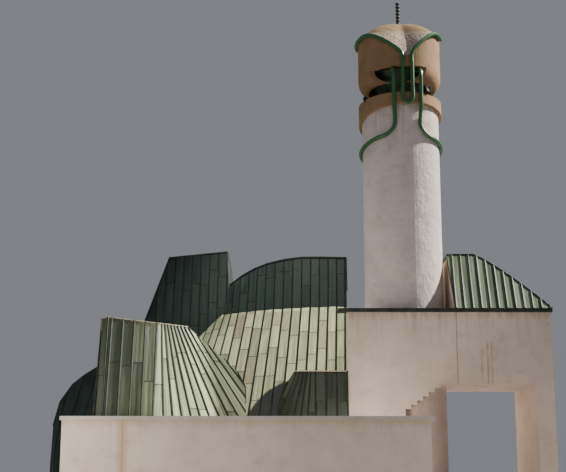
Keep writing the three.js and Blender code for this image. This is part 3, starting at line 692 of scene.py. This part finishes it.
print("seam layouts ready")

# %% [markdown]
# The cladding starts as a copy of the roof's own solid, so it has exactly the roof's form.
# In edit mode the outer faces are selected and cut by one plane for each seam, as with a
# knife along a straight edge. The cuts are marked, so that afterwards they can be lifted off
# as lines and given the section of a folded seam. Modelling each tray by hand would give the
# same look for far more work, and a seam painted on would vanish at a low angle.

# %% Cutting the trays
MERGE_REACH = 0.0005
SAME_PLANE = math.radians(0.5)
EDGE_MARGIN = 0.02
BY_EDGES = (False, True, False)
BY_FACES = (False, False, True)


def bring_forward(piece):
    """Select one object alone and make it the active one."""
    bpy.ops.object.select_all(action="DESELECT")
    piece.select_set(True)
    bpy.context.view_layer.objects.active = piece


@contextmanager
def edited(piece):
    """Keep one object, alone, in edit mode for the length of a with block."""
    bring_forward(piece)
    bpy.ops.object.mode_set(mode="EDIT")
    yield
    bpy.ops.object.mode_set(mode="OBJECT")


def copy_of(node, name):
    """A separate, merged copy of a frame node's mesh, to work on."""
    piece = bpy.data.objects.new(name, nodes[node].data.copy())
    bpy.context.scene.collection.objects.link(piece)
    piece.data.materials.clear()
    with edited(piece):
        bpy.ops.mesh.select_all(action="SELECT")
        bpy.ops.mesh.remove_doubles(threshold=MERGE_REACH)
        bpy.ops.mesh.select_all(action="SELECT")
        bpy.ops.mesh.dissolve_limited(angle_limit=SAME_PLANE)
        bpy.ops.mesh.select_all(action="SELECT")
        bpy.ops.mesh.mark_sharp(clear=True)
    return piece


def pick_faces(piece, wanted):
    """In edit mode, select the faces that a test accepts. Returns the places of their corners."""
    bpy.context.tool_settings.mesh_select_mode = BY_FACES
    bpy.ops.mesh.select_all(action="DESELECT")
    mesh = bmesh.from_edit_mesh(piece.data)
    chosen = [face for face in mesh.faces if wanted(face.calc_center_median(), face.normal)]
    for face in chosen:
        face.select_set(True)
    corners = [vert.co.copy() for face in chosen for vert in face.verts]
    mesh.select_flush_mode()
    bmesh.update_edit_mesh(piece.data)
    return corners


def cut_faces(piece, wanted, plane, mark):
    """In edit mode, cut the accepted faces along one plane and mark the cut."""
    pick_faces(piece, wanted)
    bpy.context.tool_settings.mesh_select_mode = BY_EDGES
    bpy.ops.mesh.bisect(plane_co=plane[0], plane_no=plane[1], threshold=MERGE_REACH)
    mark()


def cut_trays(piece, wanted, layout):
    """Cut the accepted faces along every seam of a layout. Returns how many cuts that took."""
    with edited(piece):
        counts = [layout.count(corner) for corner in pick_faces(piece, wanted)]
        if not counts:
            return 0
        numbers = range(math.ceil(min(counts) + EDGE_MARGIN), math.floor(max(counts) - EDGE_MARGIN) + 1)
        for number in numbers:
            cut_faces(piece, wanted, layout.plane(number), bpy.ops.mesh.mark_seam)
    return len(numbers)


print("tray tools ready")

# %% [markdown]
# A tray on a tall roof is longer than a sheet, so it is made of several, and each laps over the
# one below. Workers cut the sheets as they go, and no two trays have their laps at the same
# heights. Here a chance number sets each sheet's length, and a level cut makes the lap. The
# copper's two maps are written once all the cuts are made.

# %% Cutting the laps and writing the maps
FLAT = 0.85
SHORTEST_SHEET = 0.3
TOP_SHEET = (0.3, 1.0)
OTHER_SHEETS = (0.8, 1.15)


def lap_heights(low, high, spacing):
    """Where one tray's sheets overlap, from the top down."""
    heights = []
    height = high - spacing * chance.uniform(*TOP_SHEET)
    while height > low + SHORTEST_SHEET:
        heights.append(height)
        height -= spacing * chance.uniform(*OTHER_SHEETS)
    return heights


def tray_spans(piece, wanted, layout):
    """In edit mode, the lowest and the highest place of each tray on the accepted, sloping faces."""
    spans = {}
    for face in bmesh.from_edit_mesh(piece.data).faces:
        centre = face.calc_center_median()
        if wanted(centre, face.normal) and face.normal.z < FLAT:
            heights = [vert.co.z for vert in face.verts]
            span = spans.setdefault(math.floor(layout.count(centre)), [math.inf, -math.inf])
            span[:] = min(span[0], *heights), max(span[1], *heights)
    return sorted(spans.items())


def in_tray(wanted, layout, tray):
    """A test for the sloping faces of one tray."""
    return lambda centre, normal: (wanted(centre, normal) and normal.z < FLAT
                                   and math.floor(layout.count(centre)) == tray)


def cut_laps(piece, areas, spacing):
    """Cut each tray level at its laps, and mark the cuts as sharp. Returns each tray's laps."""
    laps = {}
    with edited(piece):
        for area, (wanted, layout) in enumerate(areas):
            for tray, (low, high) in tray_spans(piece, wanted, layout):
                laps[area, tray] = lap_heights(low, high, spacing)
                for height in laps[area, tray]:
                    level = ((0, 0, height), (0, 0, 1))
                    cut_faces(piece, in_tray(wanted, layout, tray), level, bpy.ops.mesh.mark_sharp)
    return laps


def map_trays(piece, areas, laps, down, outer_finish, inner_finish):
    """Write both maps, and give the accepted faces the outer finish and the rest the inner."""
    piece.data.materials.append(outer_finish)
    piece.data.materials.append(inner_finish)
    trays = piece.data.uv_layers.new(name="trays")
    sheets = piece.data.uv_layers.new(name="sheets")
    top = max(vert.co.z for vert in piece.data.vertices)
    sheet_chance = {}
    for face in piece.data.polygons:
        area = next((i for i, (wanted, _) in enumerate(areas) if wanted(face.center, face.normal)), None)
        face.material_index = 0 if area is not None else 1
        layout = areas[area or 0][1]
        tray = math.floor(layout.count(face.center))
        above = [height for height in laps.get((area, tray), []) if height > face.center.z]
        lap = min(above, default=top)
        number = sheet_chance.setdefault((area, tray, len(above)), chance.random())
        for corner in face.loop_indices:
            place = piece.data.vertices[piece.data.loops[corner].vertex_index].co
            trays.data[corner].uv = (layout.count(place), down(place))
            sheets.data[corner].uv = (number, lap - place.z)


print("lap and map tools ready")

# %% [markdown]
# A seam, a lap and an edge strip are all a line with a section, so one helper makes them all. It
# lifts marked edges off the cladding and turns them into a curve, whose bevel is the section. A
# bevel on the cladding's own edges would look alike, but it would cut into the trays' two maps.

# %% Rods along edges
BOX_SLACK = 0.000002


def rods_along(piece, name, chosen, radius, finish, rounds=0):
    """Lift the edges that a test accepts off a piece, as lines, and give them a section."""
    before = set(bpy.data.objects)
    with edited(piece):
        bpy.context.tool_settings.mesh_select_mode = BY_EDGES
        bpy.ops.mesh.select_all(action="DESELECT")
        mesh = bmesh.from_edit_mesh(piece.data)
        picked = [edge for edge in mesh.edges if chosen(edge)]
        for edge in picked:
            edge.select_set(True)
        bmesh.update_edit_mesh(piece.data)
        if not picked:
            return None
        bpy.ops.mesh.duplicate()
        bpy.ops.mesh.separate(type="SELECTED")
    rods = next(thing for thing in bpy.data.objects if thing not in before)
    bring_forward(rods)
    bpy.ops.object.convert(target="CURVE")
    rods = bpy.context.object
    rods.name = name
    rods.data.bevel_depth = radius
    rods.data.bevel_resolution = rounds
    rods.data.use_fill_caps = True
    bpy.ops.object.convert(target="MESH")
    rods = bpy.context.object
    rods.data.materials.clear()
    rods.data.materials.append(finish)
    return rods


def trim(piece):
    """Cut off what a rounded strip adds beyond the building's own box."""
    low, high = cad_box
    for number, side in ((0, -1), (0, 1), (1, -1), (1, 1), (2, -1), (2, 1)):
        plane = Vector(low if side < 0 else high)
        normal = Vector((0, 0, 0))
        normal[number] = side
        if max((vert.co - plane).dot(normal) for vert in piece.data.vertices) > BOX_SLACK:
            with edited(piece):
                bpy.ops.mesh.select_all(action="SELECT")
                bpy.ops.mesh.bisect(plane_co=plane, plane_no=normal, use_fill=True, clear_outer=True)


def settle(piece, slot, *replaced):
    """Trim a finished piece to the building's box, let it ride on the building and hide the nodes it
    replaces. The slot is not used.
    """
    trim(piece)
    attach(piece, "root")
    if replaced:
        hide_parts(*replaced)


print("rod tools ready")

# %% [markdown]
# An edge where two roof planes meet is capped by a folded strip of sheet, because a seam can't
# turn a sharp corner. Those strips are found by the angle between the faces. On the two lanterns
# with a fan the strip along the top is a paler metal, so it is picked out by its height.

# %% Cladding a roof
SEAM_RADIUS = 0.027
WIDE_SEAM_RADIUS = 0.040
LAP_RADIUS = 0.011
STRIP_RADIUS = 0.034
TOP_STRIP_RADIUS = 0.024
SHARP = math.radians(34)
SMOOTH = math.radians(28)
OUTWARD = 0.02
NO_STRIPS = math.inf


def outside_of(x, y, z):
    """A test for the faces that look away from a place inside the roof."""
    middle = at(x, y, z)
    return lambda centre, normal: normal.dot(centre - middle) > OUTWARD


def split(outer, turned):
    """Two tests: for the outer faces whose normal is turned a certain way, and for the others."""
    return (lambda centre, normal: outer(centre, normal) and turned(normal),
            lambda centre, normal: outer(centre, normal) and not turned(normal))


def touches(edge, outer):
    return any(outer(face.calc_center_median(), face.normal) for face in edge.link_faces)


def is_seam(outer):
    return lambda edge: edge.seam and touches(edge, outer)


def is_lap(outer):
    return lambda edge: not edge.smooth and not edge.seam and touches(edge, outer)


def is_sharp(outer, low, high):
    """A test for sharp outer edges between two heights."""
    def chosen(edge):
        if len(edge.link_faces) != 2:
            return False
        if not all(outer(face.calc_center_median(), face.normal) for face in edge.link_faces):
            return False
        height = (edge.verts[0].co.z + edge.verts[1].co.z) / 2
        return low <= height < high and edge.calc_face_angle(0) > SHARP
    return chosen


def fall(place):
    """How far down a place lies, for a roof that is measured by its height alone."""
    return -place.z


def clad(node, areas, finish, slot, inner_finish, outer, down=fall, seam_radius=SEAM_RADIUS,
         seam_finish=seam_metal, strips_from=-math.inf, pale_above=math.inf, break_at=None,
         lap_spacing=None):
    """Make a roof's trays, seams, laps and strips from its node, and let the trays replace it.

    An area is a test for faces and the layout of their seams. Where one layout ends and the next
    begins within a face, the plane of break_at cuts it first.
    """
    piece = copy_of(node, node + "_trays")
    if break_at:
        with edited(piece):
            cut_faces(piece, outer, break_at, bpy.ops.mesh.mark_seam)
    seams = sum(cut_trays(piece, wanted, layout) for wanted, layout in areas)
    laps = cut_laps(piece, areas, lap_spacing) if lap_spacing else {}
    map_trays(piece, areas, laps, down, finish, inner_finish)
    strips = is_sharp(outer, strips_from, pale_above)
    top_strips = is_sharp(outer, pale_above, math.inf)
    made = [
        rods_along(piece, node + "_seams", is_seam(outer), seam_radius, seam_finish),
        rods_along(piece, node + "_laps", is_lap(outer), LAP_RADIUS, seam_finish),
        rods_along(piece, node + "_strips", strips, STRIP_RADIUS, dark_flashing, 1),
        rods_along(piece, node + "_top_strips", top_strips, TOP_STRIP_RADIUS, pale_flashing, 1),
    ]
    bring_forward(piece)
    bpy.ops.object.shade_smooth_by_angle(angle=SMOOTH)
    settle(piece, slot, node)
    for rods in filter(None, made):
        settle(rods, slot)
    print(node, "cuts", seams, "laps", sum(map(len, laps.values())), "faces", len(piece.data.polygons))


print("cladding tools ready")

# %% [markdown]
# Now the roofs. The hall's skirt, the rim of its crown and the broad lantern share one set of
# seams, so the lines run on from one to the next as they do on the building. A full fan over the
# crown would crowd its seams at the middle, where no one could fold them, so the crown's flat
# middle has plain straight seams.

# %% Hall roof and broad lantern
SKIRT_RUN = 0.514
SKIRT_FALL = 0.858
SKIRT_TOP_RADIUS = 7.60
STEEPEST_CROWN = 0.8
FLAT_TRAY_WIDTH = 0.42
BROAD_STRIPS_FROM = 8.3
hall_axis = at(HALL_X, HALL_Y, 0)
hall_seams = OpeningSeams(hall_axis, SKIRT_TOP_RADIUS, start=0.6, step=2.5, growth=0.033, growing=12)
cone_outer = outside_of(HALL_X, HALL_Y, 0)


def down_the_cone(place):
    """How far a place lies down the cone's slope."""
    reach = place - hall_axis
    return math.hypot(reach.x, reach.y) * SKIRT_RUN - place.z * SKIRT_FALL


def clad_hall(node, areas, **details):
    clad(node, areas, copper["skirt"], "hall_copper", hall_plaster, cone_outer, down_the_cone,
         WIDE_SEAM_RADIUS, strips_from=NO_STRIPS, **details)


def clad_lantern(node, areas, finish, outer, **details):
    clad(node, areas, finish, "lantern_copper", hall_plaster, outer, **details)


steep, shallow = split(cone_outer, lambda normal: normal.z < STEEPEST_CROWN)
flat_seams = StraightSeams(ACROSS, at(HALL_X, 0, 0), FLAT_TRAY_WIDTH)
broad_outer = outside_of(0.2, 6.0, 6.5)
clad_hall("hall_roof_skirt", [(cone_outer, hall_seams)], lap_spacing=1.15)
clad_hall("hall_roof_crown", [(steep, hall_seams), (shallow, flat_seams)])
clad_lantern("broad_lantern", [(broad_outer, hall_seams)], copper["dark"], broad_outer,
             seam_finish=dark_seam_metal, strips_from=BROAD_STRIPS_FROM, lap_spacing=1.5)

# %% [markdown]
# The tall lantern's trays run straight down, all of one width, because its sides are flat. The
# side lantern stands where the skirt opens out, so its seams spread from the hall's axis.

# %% Tall lantern and side lantern
TRAY_WIDTH = 0.39
CONE_STEP = 2.66
SIDEWAYS = 0.8


def straight_areas(outer, start):
    """Trays of one width on the faces that don't look sideways, and then on those that do."""
    sideways, others = split(outer, lambda normal: abs(normal.x) > SIDEWAYS)
    return [(others, StraightSeams(ACROSS, start, TRAY_WIDTH)),
            (sideways, StraightSeams(BACK, start, TRAY_WIDTH))]


tall_outer = outside_of(-3.9, 7.0, 5.0)
side_outer = outside_of(-7.6, 6.4, 0)
side_seams = FanSeams(hall_axis, FRONT, LEFT, CONE_STEP)
clad_lantern("tall_lantern", straight_areas(tall_outer, at(-2.39, 5.0, 0)), copper["dark"], tall_outer,
             seam_finish=dark_seam_metal, lap_spacing=1.7)
clad_lantern("side_lantern", [(side_outer, side_seams)], copper["dark"], side_outer,
             seam_finish=dark_seam_metal, lap_spacing=2.0)

# %% [markdown]
# The front lantern and the small one have straight trays that turn into a fan over the open
# flank. Every tray of a fan narrows to one place above the roof, so flat sheets can follow the
# flank. The fan's first seam is where the straight trays stop, so it is cut before the rest.

# %% Lanterns with a fan
FRONT_FAN_STEP = 3.3
SMALL_FAN_STEP = 4.2
FAN_FACES_BACK = 0.1
front_fan = FanSeams(at(-4.39, 0, 7.97), DOWN, ACROSS, FRONT_FAN_STEP)
small_fan = FanSeams(at(1.14, 0, 6.47), DOWN, ACROSS, SMALL_FAN_STEP)


def fan_areas(outer, fan, turned_to, straight):
    """Faces on the fan's side of its first seam, the backs behind them, then the straight ones."""
    def beside(centre, normal):
        return outer(centre, normal) and fan.count(centre) * turned_to > 1

    def short_of_fan(wanted):
        return lambda centre, normal: wanted(centre, normal) and not beside(centre, normal)

    in_fan, behind = split(beside, lambda normal: normal.y < FAN_FACES_BACK)
    sideways = straight[1][1]
    fanned = [(in_fan, fan), (behind, sideways)]
    return fanned + [(short_of_fan(wanted), layout) for wanted, layout in straight]


front_outer = outside_of(-4.3, 0.6, 0)
front_areas = fan_areas(front_outer, front_fan, 1, straight_areas(front_outer, at(-6.40, -2.0, 0)))
clad_lantern("front_lantern", front_areas, copper["front"], front_outer, seam_radius=WIDE_SEAM_RADIUS,
             pale_above=5.6, break_at=front_fan.plane(1), lap_spacing=2.2)
small_outer = outside_of(1.3, 0.5, 0)
small_areas = fan_areas(small_outer, small_fan, -1, straight_areas(small_outer, at(2.36, -0.3, 0)))
clad_lantern("small_lantern", small_areas, copper["small"], small_outer, seam_finish=dark_seam_metal,
             pale_above=4.4, break_at=small_fan.plane(-1), lap_spacing=1.6)

# %% [markdown]
# The gate roof's sheets meet in thick round rolls. On its slopes they lean a little, and over the
# hip at its end they run down the hip. The rolls are made like the seams, only much thicker.

# %% Gate roof
GATE_TRAY = 0.32
GATE_LEAN = 0.08
GATE_ROLL = 0.046
UPWARD = 0.2
HIP_TURN = 0.3
away_from_middle = outside_of(8.0, 1.75, 7.3)


def gate_outer(centre, normal):
    return away_from_middle(centre, normal) and normal.z > UPWARD


gate_hip, gate_slope = split(gate_outer, lambda normal: abs(normal.y) < HIP_TURN)
slope_rolls = StraightSeams((1, 0, -GATE_LEAN), at(6.5, 0, GATE_TOP), GATE_TRAY)
hip_rolls = StraightSeams(BACK, at(0, 1.7, 0), GATE_TRAY)
clad("gate_roof", [(gate_slope, slope_rolls), (gate_hip, hip_rolls)], copper["gate"], "gate_copper",
     dark_flashing, gate_outer, seam_radius=GATE_ROLL, seam_finish=gate_roll_metal)

# %% [markdown]
# The gate's copings are lengths of folded sheet. Each length is as long as a sheet metal worker
# folds in one go, and the next one laps over its end. Along the foot of the outer side runs a
# rolled drip edge, which keeps water off the plaster below. The joints and the drip edge are
# drawn in towards the gate's middle a little, so that they don't stand out past the sheet.

# %% Gate copings
COPING_LENGTH = 1.27
COPING_START = 2.07
COPING_LAP = 0.011
DRIP_RADIUS = 0.016
DRIP_REACH = 0.002
UPRIGHT = 0.5
TUCK = (0.9955, 0.996, 1.0)
COPINGS = {"front_coping": ACROSS, "back_coping": ACROSS, "left_coping": BACK, "right_coping": BACK}
gate_middle = at((GATE_LEFT + GATE_RIGHT) / 2, TOWER_Y, GATE_TOP)


def everywhere(centre, normal):
    return True


def is_drip(foot):
    """A test for the coping's lower outer edges: those on its foot that look out of the gate."""
    def looks_out(face):
        reach = face.calc_center_median() - gate_middle
        return abs(face.normal.z) < UPRIGHT and face.normal.dot(reach) > 0

    def chosen(edge):
        on_foot = all(abs(vert.co.z - foot) <= DRIP_REACH for vert in edge.verts)
        return on_foot and any(looks_out(face) for face in edge.link_faces)
    return chosen


for name, direction in COPINGS.items():
    sheet = copy_of(name, name + "_sheets")
    cuts = cut_trays(sheet, everywhere, StraightSeams(direction, at(COPING_START, 0, 0), COPING_LENGTH))
    foot = min(vert.co.z for vert in sheet.data.vertices)
    joints = rods_along(sheet, name + "_joints", lambda edge: edge.seam, COPING_LAP, dark_seam_metal)
    drip = rods_along(sheet, name + "_drip", is_drip(foot), DRIP_RADIUS, dark_flashing, 1)
    sheet.data.materials.append(dark_flashing)
    settle(sheet, "flashing", name)
    for rods in filter(None, (joints, drip)):
        with edited(rods):
            bpy.ops.mesh.select_all(action="SELECT")
            bpy.ops.transform.resize(value=TUCK, center_override=gate_middle)
        settle(rods, "flashing")

# %% [markdown]
# Under the hood the dark sheet is stiffened by ribs that run out from the minaret's axis. They
# are found on the hood's own underside: the edges that point away from the axis at even turns.

# %% Ribs under the hood
RIBS = 16
RIB_RADIUS = 0.028
SHORTEST_RIB = 0.08
OFF_AXIS = 0.004
DOWNWARD = -0.05
OFF_TURN = 0.03
tower_axis = at(TOWER_X, TOWER_Y, 0)


def is_rib(edge):
    """Whether an edge is on the underside and runs out from the axis at one of the even turns."""
    reaches = [vert.co - tower_axis for vert in edge.verts]
    near, far = sorted(reaches, key=lambda reach: math.hypot(reach.x, reach.y))
    if math.hypot(far.x, far.y) - math.hypot(near.x, near.y) < SHORTEST_RIB:
        return False
    if abs(near.x * far.y - near.y * far.x) > OFF_AXIS:
        return False
    turn = math.atan2(far.x, -far.y) * RIBS / math.tau
    downward = all(face.normal.z < DOWNWARD for face in edge.link_faces)
    return downward and abs(turn - round(turn)) < OFF_TURN


for name in ("hood_funnel", "hood_ceiling"):
    guide = copy_of(name, name + "_guide")
    ribs = rods_along(guide, name + "_ribs", is_rib, RIB_RADIUS, dark_green, 1)
    bpy.data.objects.remove(guide)
    if ribs:
        settle(ribs, "dark_green_metal")
        print(name, "ribs, faces:", len(ribs.data.polygons))

# %% [markdown]
# Two small lamps stand on the balcony's ring. Each is a round can with a raised rim in front, a
# stepped back and a short stalk. The can and the stalk start as plain cylinders. The rim and the
# back are drawn out with inset and extrude, and a bevel takes the sharp edges off. Each row below
# gives a lamp's turn round the minaret from the front to the right, its reach from the axis, the
# height of its middle, its width and the height its stalk starts at.

# %% Balcony lamps
BALCONY_LAMPS = (("right_lamp", 34, 1.70, 16.13, 0.25, 15.93),
                 ("left_lamp", -62, 1.68, 15.97, 0.18, 15.80))
STALK_RADIUS = 0.022
LAMP_SIDES = 24
LAMP_BEVEL = 0.004
CAN_DEPTH = 0.55
FRONT_STEP = (0.07, -0.10)
BACK_STEPS = ((0.12, 0.14), (0.12, 0.10))
STALK_TOP = 0.45


def face_looking(piece, direction):
    """In edit mode, select the one face that looks most nearly in a direction."""
    bpy.context.tool_settings.mesh_select_mode = BY_FACES
    bpy.ops.mesh.select_all(action="DESELECT")
    mesh = bmesh.from_edit_mesh(piece.data)
    best = max(mesh.faces, key=lambda face: (face.normal.dot(direction), face.calc_area()))
    best.select_set(True)
    mesh.select_flush_mode()
    bmesh.update_edit_mesh(piece.data)


def draw_out(width, step):
    """Inset the selected face, then move the inner face along its normal. Both are shares of a width."""
    inset, push = step
    bpy.ops.mesh.inset(thickness=width * inset, depth=0)
    bpy.ops.mesh.extrude_region_shrink_fatten(TRANSFORM_OT_shrink_fatten={"value": width * push})


def add_cylinder(radius, depth, place, rotation=(0, 0, 0)):
    bpy.ops.object.select_all(action="DESELECT")
    bpy.ops.mesh.primitive_cylinder_add(vertices=LAMP_SIDES, radius=radius, depth=depth, location=place,
                                        rotation=rotation)
    bpy.ops.object.transform_apply(location=True, rotation=True, scale=True)
    return bpy.context.object


def make_can(name, width, place, angle, outward):
    """The lamp's can, with its rim and its stepped back."""
    can = add_cylinder(width / 2, width * CAN_DEPTH, place, (math.pi / 2, 0, angle))
    can.name = name
    with edited(can):
        face_looking(can, outward)
        draw_out(width, FRONT_STEP)
        face_looking(can, -outward)
        for step in BACK_STEPS:
            draw_out(width, step)
        bpy.ops.mesh.select_all(action="SELECT")
        bpy.ops.mesh.normals_make_consistent(inside=False)
    return can


def make_lamp(name, turn, reach, height, width, foot):
    angle = math.radians(turn)
    outward = Vector((math.sin(angle), -math.cos(angle), 0))
    place = tower_axis + outward * reach + Vector((0, 0, height))
    lamp = make_can(name, width, place, angle, outward)
    top = height - width * STALK_TOP
    add_cylinder(STALK_RADIUS, top - foot, (place.x, place.y, (top + foot) / 2))
    lamp.select_set(True)
    bpy.context.view_layer.objects.active = lamp
    bpy.ops.object.join()
    with edited(lamp):
        bpy.ops.mesh.select_all(action="SELECT")
        bpy.ops.mesh.bevel(offset=LAMP_BEVEL, segments=2, affect="EDGES")
    lamp.data.materials.append(lamp_metal)
    bpy.ops.object.shade_smooth_by_angle(angle=SMOOTH)
    settle(lamp, None)
    print(name, "faces", len(lamp.data.polygons))


for row in BALCONY_LAMPS:
    make_lamp(*row)

# %% [markdown]
# The remaining nodes already have their true shapes, so they only need their finish.

# %% Finishes by node
FINISHES = {
    gate_plaster: ["facade_left_wall", "facade_right_wall", "gate_right_wall", "gate_left_wall",
                   "gate_back_wall_left", "gate_back_wall_right", "passage_ceiling_slab",
                   "terrace_slab_left", "terrace_slab_right", "gate_roof_back_wall"],
    hall_plaster: ["hall_curved_wall_1", "hall_curved_wall_2", "hall_curved_wall_3", "hall_side_wall",
                   "hall_back_wall"],
    gable_plaster_painted_light: ["gate_gable_wall"],
    yard_plaster: ["yard_front_wall", "yard_left_wall", "yard_right_wall"],
    coping_plaster: ["yard_front_coping"],
    shaft_plaster: ["minaret_shaft"],
    tan_plaster: ["balcony_floor", "balcony_ring", "balcony_stem", "hood_drum", "hood_bowl"],
    hood_plaster: ["hood_roof"],
    dark_green: ["hood_funnel", "hood_ceiling"],
    green_paint: ["hood_loop_tube", "collar_tube_left", "collar_tube_right"],
    finial_metal: ["finial"],
}
for finish, names in FINISHES.items():
    for name in names:
        nodes[name].data.materials.clear()
        nodes[name].data.materials.append(finish)
print("finished nodes:", sum(len(names) for names in FINISHES.values()))
